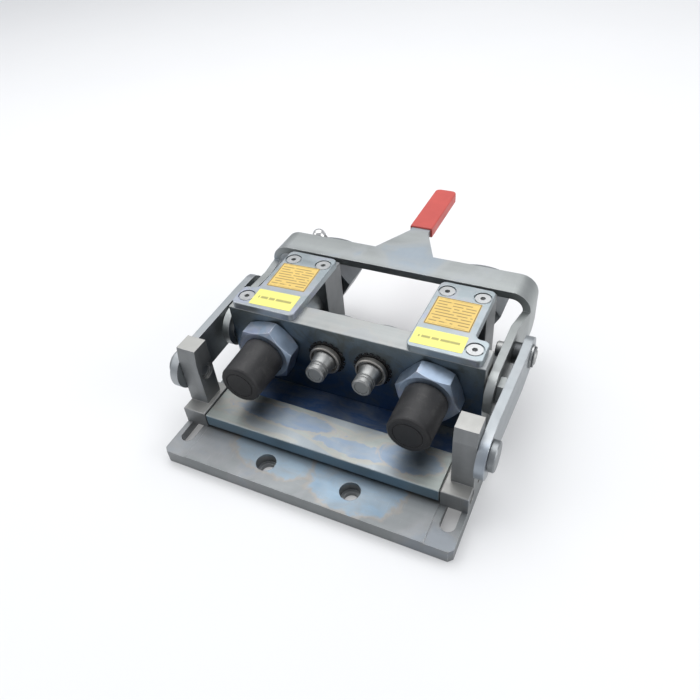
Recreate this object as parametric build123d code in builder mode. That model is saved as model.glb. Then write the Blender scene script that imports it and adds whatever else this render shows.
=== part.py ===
"""Lever-operated hydraulic multi-coupler: fixed half with carriage, links and bail lever.

All sizes in mm.  X runs across the unit, Y from the front edge to the back, Z up.
The origin is the middle of the base plate's front edge, on its underside.
Left and right pieces mirror each other about the YZ plane.
"""
import os
from math import cos, radians, sin

from build123d import *

# ---- base plate ---------------------------------------------------------------------------
base_width = 300.0
base_depth = 250.0
base_thick = 16.0
base_corner = 4.0            # chamfer on the four plan corners
edge_break = 0.6             # small chamfer on machined edges
track_width = 26.0           # milled sliding track at each end
track_depth = 1.0
mount_x = 44.7               # counterbored fixing holes, from the middle
mount_front_y = 24.4
mount_rear_setback = 14.0    # rear fixing holes, from the back edge
mount_hole = 13.5
mount_bore = 20.0
mount_bore_depth = 11.0

# ---- slots and guide screws ------------------------------------------------------------------
slot_width = 14.0
slot_edge = 5.5              # metal left between a slot and the side of the base
slot_front = 18.0            # front end of the slot
slot_recess_width = 21.4     # wider groove under the slot, for the screw head
slot_recess_depth = 6.5
guide_head_dia = 20.0
guide_head_thick = 5.0
guide_head_gap = 0.6         # head above the groove's floor
guide_setback = 21.0         # guide screw behind the foot's front
guide_play = 0.3             # each side of the guide screw, in the slot
guide_thread = 10.0
guide_thread_reach = 16.0
slot_rear_spare = 1.5
thread_spare = 1.0           # screws end this much short of their threaded holes

# ---- carriage: cross bar and two foot blocks ----------------------------------------------------
foot_front = 42.0
foot_depth = 45.0
foot_width = 25.6
foot_top = 34.6
slide_gap = 0.2              # gap under the feet, on the tracks
bar_front = 42.0
bar_depth = 45.0
bar_top = 33.5
bar_thick = 14.0
bar_end_gap = 1.0            # joint line between the cross bar and a foot
upright_front = 56.2
upright_depth = 21.8
upright_width = 20.8
upright_top = 103.0
upright_bevel_rise = 15.0    # front face leans back over this height
upright_bevel_run = 2.5
upright_root = 2.0           # the upright starts this deep in the foot
joint_inset = 2.0            # joint face set back from the bar's outline
bar_screw_dia = 8.0
bar_screw_head = 13.0
bar_screw_head_len = 8.0
bar_screw_reach = 20.0       # thread length in the cross bar
bar_screw_pitch = 24.0
bar_screw_sunk = 1.0         # head below the foot's side
bar_screw_bore_gap = 0.3
bar_socket_af = 6.0
bar_socket_depth = 4.0

# ---- pivot bolts ----------------------------------------------------------------------------
pivot_bolt_reach = 24.0      # into the coupling plate's ends
pivot_head_af = 24.0
pivot_head_len = 6.0
washer_dia = 32.0
washer_gap = 0.1

# ---- pivots --------------------------------------------------------------------------------
axis_z = 70.0                # height of all pivots and couplings
pivot_y = 143.0              # lever pivot in the coupling plate's ends
front_pin_y = 68.0
link_length = 131.0          # front pin to rear pin
pin_dia = 16.0
run_gap = 0.05               # radial gap of a running fit
front_pin_dia = 12.0
front_pin_head = 28.0
front_pin_head_thick = 6.0
front_head_gap = 0.4
pin_inset_dia = 17.0         # the pin's inner end sits in this shallow bore
pin_inset_depth = 3.0
open_pivot_gap = 6.3         # the links' front holes: play all round the pin
rear_pin_stub = 9.0          # inner end, standing inside the crank
rear_washer_dia = 24.0
rear_washer_thick = 1.8
spacer_dia = 22.0
circlip_dia = 21.0
circlip_thick = 1.6
circlip_gap_width = 5.0
circlip_gap_depth = 8.0
rear_pin_overhang = 1.2      # pin standing out of the circlip
pin_bevel = 1.0

# ---- coupling plate and rear blocks ----------------------------------------------------------
plate_width = 270.0
plate_front = 129.0
plate_thick = 27.0
plate_top = 105.5
block_inner_x = 60.0
block_width = 55.0
block_front = 201.0
block_depth = 37.0

# ---- label plates and their screws -------------------------------------------------------------
label_thick = 7.5
label_inner_x = 59.0
label_front_width = 72.0
label_rear_width = 57.0
label_front_depth = 29.0
label_depth = 103.0
label_corner = 6.0
csk_screw_dia = 8.0
csk_head_dia = 15.4
csk_recess_dia = 18.0        # round recess in the label plate, over the conical seat
csk_recess_depth = 1.8
csk_sunk = 0.5               # screw head below the label plate's top
csk_socket_af = 5.0
csk_socket_depth = 3.0
csk_thread_reach = 16.0      # tapped depth below the label plates
csk_hole_gap = 0.5
csk_rear_x = (69.7, 105.9)
csk_rear_y = 217.7
csk_front_x = 120.2
csk_front_y = 143.7

# ---- large couplings ---------------------------------------------------------------------------
big_x = 87.0
barrel_dia = 40.0
barrel_gap = 0.1
nut_across_flats = 56.0
nut_thick = 21.0
nut_turn = 48.0              # one corner of the hexagon sits at this angle
nose_dia = 36.0
nose_bevel = 1.5
thread_end = 0.5             # thread standing out of the lock nut
flange_dia = 52.0
flange_thick = 8.0
cap_front = 62.0
cap_dia = 42.0
cap_root_dia = 44.0
cap_end_wall = 4.0
cap_gap = 0.3
cap_lip = 2.5                # rounding of the cap's front edge
cap_ring_dia = 27.0
cap_ring_width = 1.2
cap_ring_depth = 0.8
adapter_across_flats = 55.0
adapter_len = 56.0           # neck and hexagon together
adapter_neck_len = 6.0
adapter_neck_dia = 46.0
adapter_wall_from = 8.0      # cross wall with the seat, behind the neck
port_dia = 30.0
port_depth = 26.0
seat_dia = 18.0
seat_len = 5.0
chamber_dia = 28.0
poppet_dia = 24.0
poppet_head = 6.0
poppet_stem = 8.0
guide_thick = 5.0
guide_y_back = 60.0          # valve guide, behind the valve's seat
spring_wire = 1.8
spring_dia = 18.0
spring_turns = 7
spring_end_gap = 0.2
guide_port_dia = 6.0         # openings for the oil in the valve guide
guide_port_count = 6
stem_tail = 6.0              # stem standing out behind the valve guide
seat_clear = 0.4             # closed poppet in front of its seat
plunger_gap = 0.6            # all round the poppet's plunger in the seat
plunger_sunk = 0.5           # plunger behind the nose's front face

# ---- small flat-face nipples ------------------------------------------------------------------
small_x = 25.0
tip_front = 100.0
tip_dia = 20.4
tip_front_land = 5.4         # bevel and front land, up to the first groove's edge
tip_middle_land = 1.5
tip_rear_land = 1.0
groove_slope = 0.35          # length of each groove's sloping side
front_groove_depth = 0.7
front_groove_len = 0.9       # along the groove's floor
rear_groove_depth = 0.8
rear_groove_len = 1.2
neck_root_dia = 23.2
neck_root_len = 3.0          # from the shoulder's step to where the long cone starts
shoulder_dia = 26.0
collar_dia = 33.0
collar_bore = 29.0
collar_len = 6.0
collar_floor = 1.6
tooth_ring_dia = 40.0
tooth_ring_thick = 1.2
tooth_count = 18
stem_dia = 24.0
face_valve_dia = 12.6
face_valve_gap = 0.35
face_valve_travel = 5.0
face_valve_disc = 4.0
face_valve_stem = 6.0
face_spring_wire = 1.0
face_spring_turns = 5
face_spring_end_gap = 0.1
face_valve_sunk = 0.3        # closed valve behind the tip's front face
face_valve_tail = 8.0        # stem standing into the hose bore
face_chamber_spare = 7.0     # room for the closed spring
tooth_gap_width = 2.8
tooth_gap_depth = 1.9
collar_bevel = 0.8
shoulder_len = 2.2
shoulder_step = 0.7
shoulder_step_len = 1.0
tip_bevel = 1.4
hose_bore = 10.0
rear_hex_port = 15.0
rear_hex_af = 36.0
rear_hex_len = 20.0

# ---- links (side bars) ----------------------------------------------------------------------
link_thick = 8.5
link_half = 21.0             # half height of the flat bar
link_drop = 2.5              # the pins sit this far above the bar's middle
link_front_gap = 0.4         # from the upright to the link's front end
side_play = 0.3              # sideways play beside links, cranks and heads
link_set = 2.6               # the rear end stands this much further out
link_bend_from = 92.0
link_bend_to = 176.0

# ---- bail lever ---------------------------------------------------------------------------------
bail_thick = 8.0
crank_gap = 1.5              # from the coupling plate's end to the crank
crank_half = 23.0
crank_radius = 56.0          # lever pivot to rear pin
bail_set = 4.5               # the straps stand this much further out than the cranks
bail_bend_from = 214.0
bail_bend_to = 242.0
strap_depth = 34.0
strap_front = 242.0
bail_top = 108.0
bail_bend_radius = 20.0      # outside radius of the two corners
strap_heel = 14.0
handle_end = 413.0
handle_width = 22.0
handle_x = 1.5               # the handle sits a little right of the middle
handle_root_width = 68.0
handle_flare_y = 320.0
grip_start = 327.0
grip_end = 418.0
grip_thick = 2.2
grip_corner = 6.0
grip_edge = 1.5

# ---- test point on the left adapter ------------------------------------------------------------
test_angle = 127.5           # seen from the front, from the +X side
test_setback = 8.0           # from the adapter's rear face
test_dia = 14.0
test_root = 20.0             # distance of its inner end from the coupling's axis
test_shoulder = 36.0
test_thread_dia = 11.0
test_thread_end = 43.6
test_cap_dia = 16.0
test_cap_dome = 39.5         # centre of the cap's round end, from the coupling's axis

# ---- screws from under the base -----------------------------------------------------------------
base_screw_dia = 10.0
base_screw_hole = 11.0
base_screw_head = 16.0
base_screw_bore = 17.0
base_screw_head_len = 9.0
base_screw_sunk = 10.0       # depth of the counterbore
base_screw_reach = 22.0      # thread length in the piece above
base_socket_af = 8.0
base_socket_depth = 5.0
plate_screw_x = (52.0, 122.0)
block_screw_inset = 12.0     # from the block's sides

# ---- hexagons: turned bevel on both faces -------------------------------------------------------
hexagon_face_ratio = 0.97    # flat face diameter over width across flats
hexagon_bevel_slope = 0.58   # 30 degree bevel

# ---- places that follow from the sizes above ---------------------------------------------------
half_base = base_width / 2
track_z = base_thick - track_depth
slot_x = half_base - slot_edge - slot_width / 2
guide_dia = slot_width - 2 * guide_play
guide_y = foot_front + guide_setback
slot_rear = guide_y + slot_width / 2 + slot_rear_spare
foot_bottom = track_z + slide_gap
foot_inner = half_base - foot_width
upright_inner = half_base - upright_width
bar_half = foot_inner - bar_end_gap
bar_z = bar_top - bar_thick
plate_half = plate_width / 2
plate_back = plate_front + plate_thick
block_back = block_front + block_depth
label_top = plate_top + label_thick
crank_inner = plate_half + crank_gap
crank_outer = crank_inner + bail_thick
strap_outer = crank_outer + bail_set
strap_back = strap_front + strap_depth
rear_pin_y = pivot_y + crank_radius
link_inner = half_base + link_front_gap
link_outer = link_inner + link_thick
link_rear_inner = link_inner + link_set
link_rear_outer = link_outer + link_set
rear_washer_x = link_rear_outer + side_play
circlip_x = rear_washer_x + rear_washer_thick
rear_pin_end = circlip_x + circlip_thick + rear_pin_overhang
nut_front = plate_front - nut_thick
adapter_front = block_back
adapter_back = adapter_front + adapter_len
bail_under = bail_top - bail_thick
nose_front = cap_front + cap_end_wall + cap_gap
csk_cone = (csk_head_dia - csk_screw_dia) / 2
csk_spots = [(x, csk_rear_y) for x in csk_rear_x] + [(csk_front_x, csk_front_y)]
plate_mid_y = plate_front + plate_thick / 2
block_mid_y = block_front + block_depth / 2
plate_screw_spots = [(side * x, plate_mid_y) for side in (-1, 1) for x in plate_screw_x]
cap_back = nut_front - thread_end - cap_gap
block_outer_x = block_inner_x + block_width
block_screw_spots = [(block_inner_x + block_screw_inset, block_mid_y),
                     (block_outer_x - block_screw_inset, block_mid_y)]
base_screw_spots = (plate_screw_spots + block_screw_spots
                    + [(-x, y) for x, y in block_screw_spots])
rear_shift = plate_front - block_back
mount_rear_y = base_depth - mount_rear_setback
front_hole_dia = front_pin_dia + 2 * open_pivot_gap

os.makedirs("parts", exist_ok=True)


def keep(part, name):
    """Name a finished piece and write it out."""
    part.label = name
    export_step(part, f"parts/{name}.step")


def front_plane(x, y, z=axis_z):
    """A sketch plane facing the front, so that extruding goes towards the front."""
    return Plane(origin=(x, y, z), x_dir=(1, 0, 0), z_dir=(0, -1, 0))


def side_plane(x):
    """A sketch plane across the unit: sketch X is world Y, sketch Y is world Z."""
    return Plane(origin=(x, 0, 0), x_dir=(0, 1, 0), z_dir=(1, 0, 0))


def turned(x, y, points, z=axis_z):
    """A turned piece with its axis along Y; points are (radius, distance in front of y)."""
    plane = Plane(origin=(x, y, z))
    with BuildPart() as piece:
        with BuildSketch(plane):
            with BuildLine():
                Polyline(*[(r, -d) for r, d in points], close=True)
            make_face()
        revolve(axis=Axis((x, y, z), (0, 1, 0)))
    return piece.part


def turned_hexagon(x, y, across_flats, length, bore, turn):
    """A hexagon with turned chamfers on both faces and a plain bore, in front of y."""
    corner = across_flats / 2 / cos(radians(30))
    face = across_flats / 2 * hexagon_face_ratio
    lip = (corner - face) * hexagon_bevel_slope
    with BuildPart() as piece:
        add(turned(x, y, [(bore, 0), (face, 0), (corner, lip), (corner, length - lip),
                          (face, length), (bore, length)]))
        with BuildSketch(front_plane(x, y)):
            RegularPolygon(across_flats / 2, 6, major_radius=False, rotation=turn)
        extrude(amount=length, mode=Mode.INTERSECT)
    return piece.part


def coil(x, y, radius, wire, length, turns):
    """A compression spring in front of y, its axis along Y."""
    with BuildPart() as piece:
        with BuildLine() as path:
            Helix(length / turns, length, radius, center=(x, y, axis_z), direction=(0, -1, 0))
        with BuildSketch(Plane(origin=path.line @ 0, z_dir=path.line % 0)):
            Circle(wire / 2)
        sweep(is_frenet=True)
    return piece.part


def mirrored(part):
    """The same piece for the other side."""
    return mirror(part, about=Plane.YZ)


# ================================ base plate ===================================================
with BuildPart() as base_plate:
    with BuildSketch(Plane.XY) as base_outline:
        with Locations((0, base_depth / 2)):
            Rectangle(base_width, base_depth)
        chamfer(base_outline.vertices(), base_corner)
    extrude(amount=base_thick)
    # milled tracks for the feet, open at the front and back
    with BuildSketch(Plane.XY.offset(track_z)):
        for side in (-1, 1):
            with Locations((side * (half_base - track_width / 2), base_depth / 2)):
                Rectangle(track_width, base_depth)
    extrude(amount=track_depth, mode=Mode.SUBTRACT)
    # guide slots with a wider groove underneath
    slot_mid = (slot_front + slot_rear) / 2
    slot_length = slot_rear - slot_front
    with BuildSketch(Plane.XY):
        with Locations((-slot_x, slot_mid), (slot_x, slot_mid)):
            SlotOverall(slot_length, slot_width, rotation=90)
    extrude(amount=base_thick, mode=Mode.SUBTRACT)
    groove_extra = (slot_recess_width - slot_width) / 2
    with BuildSketch(Plane.XY):
        with Locations((-slot_x, slot_mid), (slot_x, slot_mid)):
            SlotOverall(slot_length + 2 * groove_extra, slot_recess_width, rotation=90)
    extrude(amount=slot_recess_depth, mode=Mode.SUBTRACT)
    # fixing holes
    with Locations(Location((-mount_x, mount_front_y, base_thick)),
                   Location((mount_x, mount_front_y, base_thick)),
                   Location((-mount_x, mount_rear_y, base_thick)),
                   Location((mount_x, mount_rear_y, base_thick))):
        CounterBoreHole(mount_hole / 2, mount_bore / 2, mount_bore_depth, depth=base_thick)
    # holes for the screws that hold the coupling plate and the rear blocks
    with BuildSketch(Plane.XY):
        with Locations(*base_screw_spots):
            Circle(base_screw_hole / 2)
    extrude(amount=base_thick, mode=Mode.SUBTRACT)
    with BuildSketch(Plane.XY):
        with Locations(*base_screw_spots):
            Circle(base_screw_bore / 2)
    extrude(amount=base_screw_sunk, mode=Mode.SUBTRACT)
keep(base_plate.part, "base_plate")

# screws with cylindrical heads, driven from below
with BuildPart() as base_screws:
    head_z = base_screw_sunk - base_screw_head_len
    with BuildSketch(Plane.XY.offset(head_z)):
        with Locations(*base_screw_spots):
            Circle(base_screw_head / 2)
    extrude(amount=base_screw_head_len)
    with BuildSketch(Plane.XY.offset(base_screw_sunk)):
        with Locations(*base_screw_spots):
            Circle(base_screw_dia / 2)
    extrude(amount=base_thick - base_screw_sunk + base_screw_reach - thread_spare)
    with BuildSketch(Plane.XY.offset(head_z)):
        with Locations(*base_screw_spots):
            RegularPolygon(base_socket_af / 2, 6, major_radius=False)
    extrude(amount=base_socket_depth, mode=Mode.SUBTRACT)
keep(base_screws.part, "base_screws")

# ================================ coupling plate ================================================
with BuildPart() as coupling_plate:
    with BuildSketch(Plane.XY.offset(base_thick)):
        with Locations((0, plate_front + plate_thick / 2)):
            Rectangle(plate_width, plate_thick)
    extrude(amount=plate_top - base_thick)
    chamfer(coupling_plate.edges(), edge_break)
    # bores for the two large couplings and the two nipples
    with BuildSketch(front_plane(0, plate_back)):
        with Locations((-big_x, 0), (big_x, 0)):
            Circle(barrel_dia / 2 + barrel_gap)
        with Locations((-small_x, 0), (small_x, 0)):
            Circle(stem_dia / 2 + barrel_gap)
    extrude(amount=plate_thick, mode=Mode.SUBTRACT)
    # threaded holes in the ends, for the lever's pivot bolts
    for side in (-1, 1):
        with BuildSketch(side_plane(side * (plate_half - pivot_bolt_reach))):
            with Locations((pivot_y, axis_z)):
                Circle(pin_dia / 2)
        extrude(amount=side * pivot_bolt_reach, mode=Mode.SUBTRACT)
    # threaded holes under it and on top of it
    with BuildSketch(Plane.XY.offset(base_thick)):
        with Locations(*plate_screw_spots):
            Circle(base_screw_dia / 2)
    extrude(amount=base_screw_reach, mode=Mode.SUBTRACT)
    with BuildSketch(Plane.XY.offset(plate_top)):
        with Locations((-csk_front_x, csk_front_y), (csk_front_x, csk_front_y)):
            Circle(csk_screw_dia / 2)
    extrude(amount=-csk_thread_reach, mode=Mode.SUBTRACT)
keep(coupling_plate.part, "coupling_plate")

# ================================ rear blocks ===================================================
with BuildPart() as rear_block_right:
    with BuildSketch(Plane.XY.offset(base_thick)):
        with Locations((block_inner_x + block_width / 2, block_front + block_depth / 2)):
            Rectangle(block_width, block_depth)
    extrude(amount=plate_top - base_thick)
    chamfer(rear_block_right.edges(), edge_break)
    with BuildSketch(front_plane(big_x, block_back)):
        Circle(barrel_dia / 2 + barrel_gap)
    extrude(amount=block_depth, mode=Mode.SUBTRACT)
    with BuildSketch(Plane.XY.offset(base_thick)):
        with Locations(*block_screw_spots):
            Circle(base_screw_dia / 2)
    extrude(amount=base_screw_reach, mode=Mode.SUBTRACT)
    with BuildSketch(Plane.XY.offset(plate_top)):
        with Locations(*[(x, csk_rear_y) for x in csk_rear_x]):
            Circle(csk_screw_dia / 2)
    extrude(amount=-csk_thread_reach, mode=Mode.SUBTRACT)
keep(rear_block_right.part, "rear_block_right")
keep(mirrored(rear_block_right.part), "rear_block_left")

# ================================ label plates ==================================================
with BuildPart() as label_plate_right:
    with BuildSketch(Plane.XY.offset(plate_top)) as label_outline:
        with BuildLine():
            Polyline(
                (label_inner_x, plate_front),
                (label_inner_x + label_front_width, plate_front),
                (label_inner_x + label_front_width, plate_front + label_front_depth),
                (label_inner_x + label_rear_width, plate_front + label_front_depth),
                (label_inner_x + label_rear_width, plate_front + label_depth),
                (label_inner_x, plate_front + label_depth),
                close=True)
        make_face()
        fillet(label_outline.vertices(), label_corner)
    extrude(amount=label_thick)
    chamfer(label_plate_right.faces().sort_by(Axis.Z)[-1].edges(), edge_break)
    with BuildSketch(Plane.XY.offset(label_top)):
        with Locations(*csk_spots):
            Circle(csk_recess_dia / 2)
    extrude(amount=-csk_recess_depth, mode=Mode.SUBTRACT)
    with Locations(*[Location((x, y, label_top - csk_recess_depth)) for x, y in csk_spots]):
        CounterSinkHole(csk_screw_dia / 2 + csk_hole_gap,
                        csk_head_dia / 2 - csk_recess_depth + csk_sunk, depth=label_thick)
keep(label_plate_right.part, "label_plate_right")
keep(mirrored(label_plate_right.part), "label_plate_left")

# countersunk screws: 90 degree heads, hexagon sockets
csk_top = label_top - csk_sunk
csk_all = [(side * x, y) for side in (-1, 1) for x, y in csk_spots]
with BuildPart() as label_screws:
    with BuildSketch(Plane.XY.offset(csk_top - csk_cone)):
        with Locations(*csk_all):
            Circle(csk_screw_dia / 2)
    extrude(amount=-(csk_top - csk_cone - plate_top + csk_thread_reach - thread_spare))
    with Locations(*[Location((x, y, csk_top - csk_cone)) for x, y in csk_all]):
        Cone(csk_screw_dia / 2, csk_head_dia / 2, csk_cone,
             align=(Align.CENTER, Align.CENTER, Align.MIN))
    with BuildSketch(Plane.XY.offset(csk_top)):
        with Locations(*csk_all):
            RegularPolygon(csk_socket_af / 2, 6, major_radius=False)
    extrude(amount=-csk_socket_depth, mode=Mode.SUBTRACT)
keep(label_screws.part, "label_screws")

# ================================ large couplings ===============================================
reach_nose = plate_front - nose_front
seat_start = reach_nose - seat_len
flange_back = -plate_thick - flange_thick
bore_r = barrel_dia / 2
barrel_right = turned(big_x, plate_front, [
    (chamber_dia / 2, rear_shift), (bore_r, rear_shift), (bore_r, flange_back),
    (flange_dia / 2, flange_back), (flange_dia / 2, -plate_thick), (bore_r, -plate_thick),
    (bore_r, nut_thick + thread_end), (nose_dia / 2, nut_thick + thread_end),
    (nose_dia / 2, reach_nose - nose_bevel), (nose_dia / 2 - nose_bevel, reach_nose),
    (seat_dia / 2, reach_nose),
    (chamber_dia / 2, seat_start)])
keep(barrel_right, "barrel_right")
keep(mirrored(barrel_right), "barrel_left")

lock_nut_right = turned_hexagon(big_x, plate_front, nut_across_flats, nut_thick, bore_r, nut_turn)
keep(lock_nut_right, "lock_nut_right")
keep(mirrored(lock_nut_right), "lock_nut_left")

# rubber dust caps, pushed over the noses
cap_reach = plate_front - cap_front
cap_start = plate_front - cap_back
cap_inside = nose_dia / 2 + cap_gap
cap_floor = cap_reach - cap_end_wall
ring_in = cap_ring_dia / 2
ring_out = ring_in + cap_ring_width
cap_right = turned(big_x, plate_front, [
    (cap_inside, cap_start), (cap_root_dia / 2, cap_start),
    (cap_dia / 2, cap_reach - cap_lip), (cap_dia / 2 - cap_lip / 3, cap_reach - cap_lip / 3),
    (cap_dia / 2 - cap_lip, cap_reach), (ring_out, cap_reach),
    (ring_out, cap_reach - cap_ring_depth), (ring_in, cap_reach - cap_ring_depth),
    (ring_in, cap_reach), (0, cap_reach), (0, cap_floor), (cap_inside, cap_floor)])
keep(cap_right, "cap_right")
keep(mirrored(cap_right), "cap_left")

# check valve inside each coupling: poppet, guide and spring
poppet_front = seat_start - seat_clear
plunger_r = seat_dia / 2 - plunger_gap
plunger_end = reach_nose - plunger_sunk
poppet_back = poppet_front - poppet_head
guide_at = poppet_back - guide_y_back
stem_r = poppet_stem / 2
poppet_right = turned(big_x, plate_front, [
    (0, guide_at - stem_tail), (stem_r, guide_at - stem_tail), (stem_r, poppet_back),
    (poppet_dia / 2, poppet_back), (poppet_dia / 2, poppet_front),
    (plunger_r, poppet_front + seat_len / 2), (plunger_r, plunger_end), (0, plunger_end)])
keep(poppet_right, "poppet_right")
keep(mirrored(poppet_right), "poppet_left")

with BuildPart() as valve_guide_right:
    add(turned(big_x, plate_front, [
        (stem_r + run_gap, guide_at), (chamber_dia / 2, guide_at),
        (chamber_dia / 2, guide_at + guide_thick), (stem_r + run_gap, guide_at + guide_thick)]))
    # openings for the oil
    with BuildSketch(front_plane(big_x, plate_front - guide_at)):
        with PolarLocations((chamber_dia + poppet_stem) / 4, guide_port_count):
            Circle(guide_port_dia / 2)
    extrude(amount=guide_thick, mode=Mode.SUBTRACT)
keep(valve_guide_right.part, "valve_guide_right")
keep(mirrored(valve_guide_right.part), "valve_guide_left")

spring_from = guide_at + guide_thick + spring_wire / 2 + spring_end_gap
spring_len = poppet_back - spring_from - spring_wire / 2 - spring_end_gap
valve_spring_right = coil(big_x, plate_front - spring_from, spring_dia / 2, spring_wire,
                          spring_len, spring_turns)
keep(valve_spring_right, "valve_spring_right")
keep(mirrored(valve_spring_right), "valve_spring_left")

# adapters behind the rear blocks, with an open port
neck_r = adapter_neck_dia / 2
hex_len = adapter_len - adapter_neck_len
with BuildPart() as adapter_right:
    add(turned_hexagon(big_x, adapter_back, adapter_across_flats, hex_len, chamber_dia / 2, 0))
    add(turned(big_x, adapter_back, [
        (chamber_dia / 2, hex_len - adapter_wall_from), (neck_r, hex_len - adapter_wall_from),
        (neck_r, adapter_len), (chamber_dia / 2, adapter_len)]))
    add(turned(big_x, adapter_back, [
        (0, port_depth), (port_dia / 2, port_depth),
        (port_dia / 2, hex_len - adapter_wall_from), (0, hex_len - adapter_wall_from)]))
    with BuildSketch(front_plane(big_x, adapter_back)):
        Circle(port_dia / 2)
    extrude(amount=port_depth, mode=Mode.SUBTRACT)
    with BuildSketch(front_plane(big_x, adapter_back)):
        Circle(seat_dia / 2)
    extrude(amount=hex_len, mode=Mode.SUBTRACT)
keep(adapter_right.part, "adapter_right")
test_y = adapter_back - test_setback
test_plane = Plane(origin=(-big_x, test_y, axis_z), x_dir=(0, 1, 0),
                   z_dir=(cos(radians(test_angle)), 0, sin(radians(test_angle))))
with BuildPart() as adapter_left:
    add(mirrored(adapter_right.part))
    with BuildSketch(test_plane.offset(test_root)):
        Circle(test_dia / 2)
    extrude(amount=test_shoulder, mode=Mode.SUBTRACT)
keep(adapter_left.part, "adapter_left")

# pressure test point with its screw cap, on the left adapter only
with BuildPart() as test_point:
    with BuildSketch(test_plane.offset(test_root)):
        Circle(test_dia / 2)
    extrude(amount=test_shoulder - test_root)
    with BuildSketch(test_plane.offset(test_shoulder)):
        Circle(test_thread_dia / 2)
    extrude(amount=test_thread_end - test_shoulder)
keep(test_point.part, "test_point")
with BuildPart() as test_cap:
    with BuildSketch(test_plane.offset(test_shoulder + side_play)):
        Circle(test_cap_dia / 2)
    extrude(amount=test_cap_dome - test_shoulder - side_play)
    with Locations(test_plane.offset(test_cap_dome)):
        Sphere(test_cap_dia / 2, arc_size1=0, align=(Align.CENTER, Align.CENTER, Align.MIN))
    with BuildSketch(test_plane.offset(test_shoulder)):
        Circle(test_thread_dia / 2 + run_gap)
    extrude(amount=test_thread_end + side_play - test_shoulder, mode=Mode.SUBTRACT)
keep(test_cap.part, "test_cap")

# ================================ small flat-face nipples =======================================
stem_r = stem_dia / 2
tip_end = plate_front - tip_front
tip_r = tip_dia / 2
front_groove_at = tip_end - tip_front_land
front_groove_back = front_groove_at - front_groove_len - 2 * groove_slope
rear_groove_at = front_groove_back - tip_middle_land
rear_groove_back = rear_groove_at - rear_groove_len - 2 * groove_slope
front_groove_r = tip_r - front_groove_depth
rear_groove_r = tip_r - rear_groove_depth
cone_end = rear_groove_back - tip_rear_land
face_bore = face_valve_dia / 2 + face_valve_gap
collar_start = tooth_ring_thick
shoulder_start = collar_start + collar_floor
stem_back = -plate_thick - rear_hex_len / 2
disc_front = tip_end - face_valve_sunk
disc_back = disc_front - face_valve_disc
chamber_start = disc_back - face_valve_travel - face_chamber_spare
shoulder_end = shoulder_start + shoulder_len
shoulder_r = shoulder_dia / 2
nipple_right = turned(small_x, plate_front, [
    (hose_bore / 2, stem_back), (stem_r, stem_back), (stem_r, shoulder_start),
    (shoulder_r, shoulder_start), (shoulder_r, shoulder_end),
    (shoulder_r - shoulder_step, shoulder_end),
    (shoulder_r - shoulder_step, shoulder_end + shoulder_step_len),
    (neck_root_dia / 2, shoulder_end + shoulder_step_len + neck_root_len),
    (tip_r, cone_end), (tip_r, rear_groove_back),
    (rear_groove_r, rear_groove_back + groove_slope),
    (rear_groove_r, rear_groove_at - groove_slope), (tip_r, rear_groove_at),
    (tip_r, front_groove_back), (front_groove_r, front_groove_back + groove_slope),
    (front_groove_r, front_groove_at - groove_slope), (tip_r, front_groove_at),
    (tip_r, tip_end - tip_bevel),
    (tip_r - tip_bevel, tip_end), (face_bore, tip_end), (face_bore, chamber_start),
    (hose_bore / 2, chamber_start)])
keep(nipple_right, "nipple_right")
keep(mirrored(nipple_right), "nipple_left")

face_valve_right = turned(small_x, plate_front, [
    (0, chamber_start - face_valve_tail), (face_valve_stem / 2, chamber_start - face_valve_tail),
    (face_valve_stem / 2, disc_back), (face_valve_dia / 2, disc_back),
    (face_valve_dia / 2, disc_front), (0, disc_front)])
keep(face_valve_right, "face_valve_right")
keep(mirrored(face_valve_right), "face_valve_left")

face_wire = face_spring_wire / 2
face_spring_r = (face_valve_stem / 2 + face_bore) / 2
face_spring_from = chamber_start + face_wire + face_spring_end_gap
face_spring_len = disc_back - face_spring_from - face_wire - face_spring_end_gap
face_spring_right = coil(small_x, plate_front - face_spring_from, face_spring_r,
                         face_spring_wire, face_spring_len, face_spring_turns)
keep(face_spring_right, "face_spring_right")
keep(mirrored(face_spring_right), "face_spring_left")

collar_end = collar_start + collar_len
collar_right = turned(small_x, plate_front, [
    (stem_r, collar_start), (collar_dia / 2 - collar_bevel, collar_start),
    (collar_dia / 2, collar_start + collar_bevel), (collar_dia / 2, collar_end - collar_bevel),
    (collar_dia / 2 - collar_bevel, collar_end),
    (collar_bore / 2, collar_end), (collar_bore / 2, shoulder_start),
    (stem_r, shoulder_start)])
keep(collar_right, "collar_right")
keep(mirrored(collar_right), "collar_left")

with BuildPart() as tooth_ring_right:
    with BuildSketch(front_plane(small_x, plate_front)):
        Circle(tooth_ring_dia / 2)
        Circle(stem_r, mode=Mode.SUBTRACT)
        with PolarLocations(tooth_ring_dia / 2, tooth_count):
            Rectangle(2 * tooth_gap_depth, tooth_gap_width, mode=Mode.SUBTRACT)
    extrude(amount=tooth_ring_thick)
keep(tooth_ring_right.part, "tooth_ring_right")
keep(mirrored(tooth_ring_right.part), "tooth_ring_left")

with BuildPart() as nipple_nut_right:
    add(turned_hexagon(small_x, plate_back + rear_hex_len, rear_hex_af, rear_hex_len,
                       rear_hex_port / 2, 0))
    with BuildSketch(front_plane(small_x, plate_front - stem_back)):
        Circle(stem_r)
    extrude(amount=rear_hex_len, mode=Mode.SUBTRACT)
keep(nipple_nut_right.part, "nipple_nut_right")
keep(mirrored(nipple_nut_right.part), "nipple_nut_left")

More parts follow.
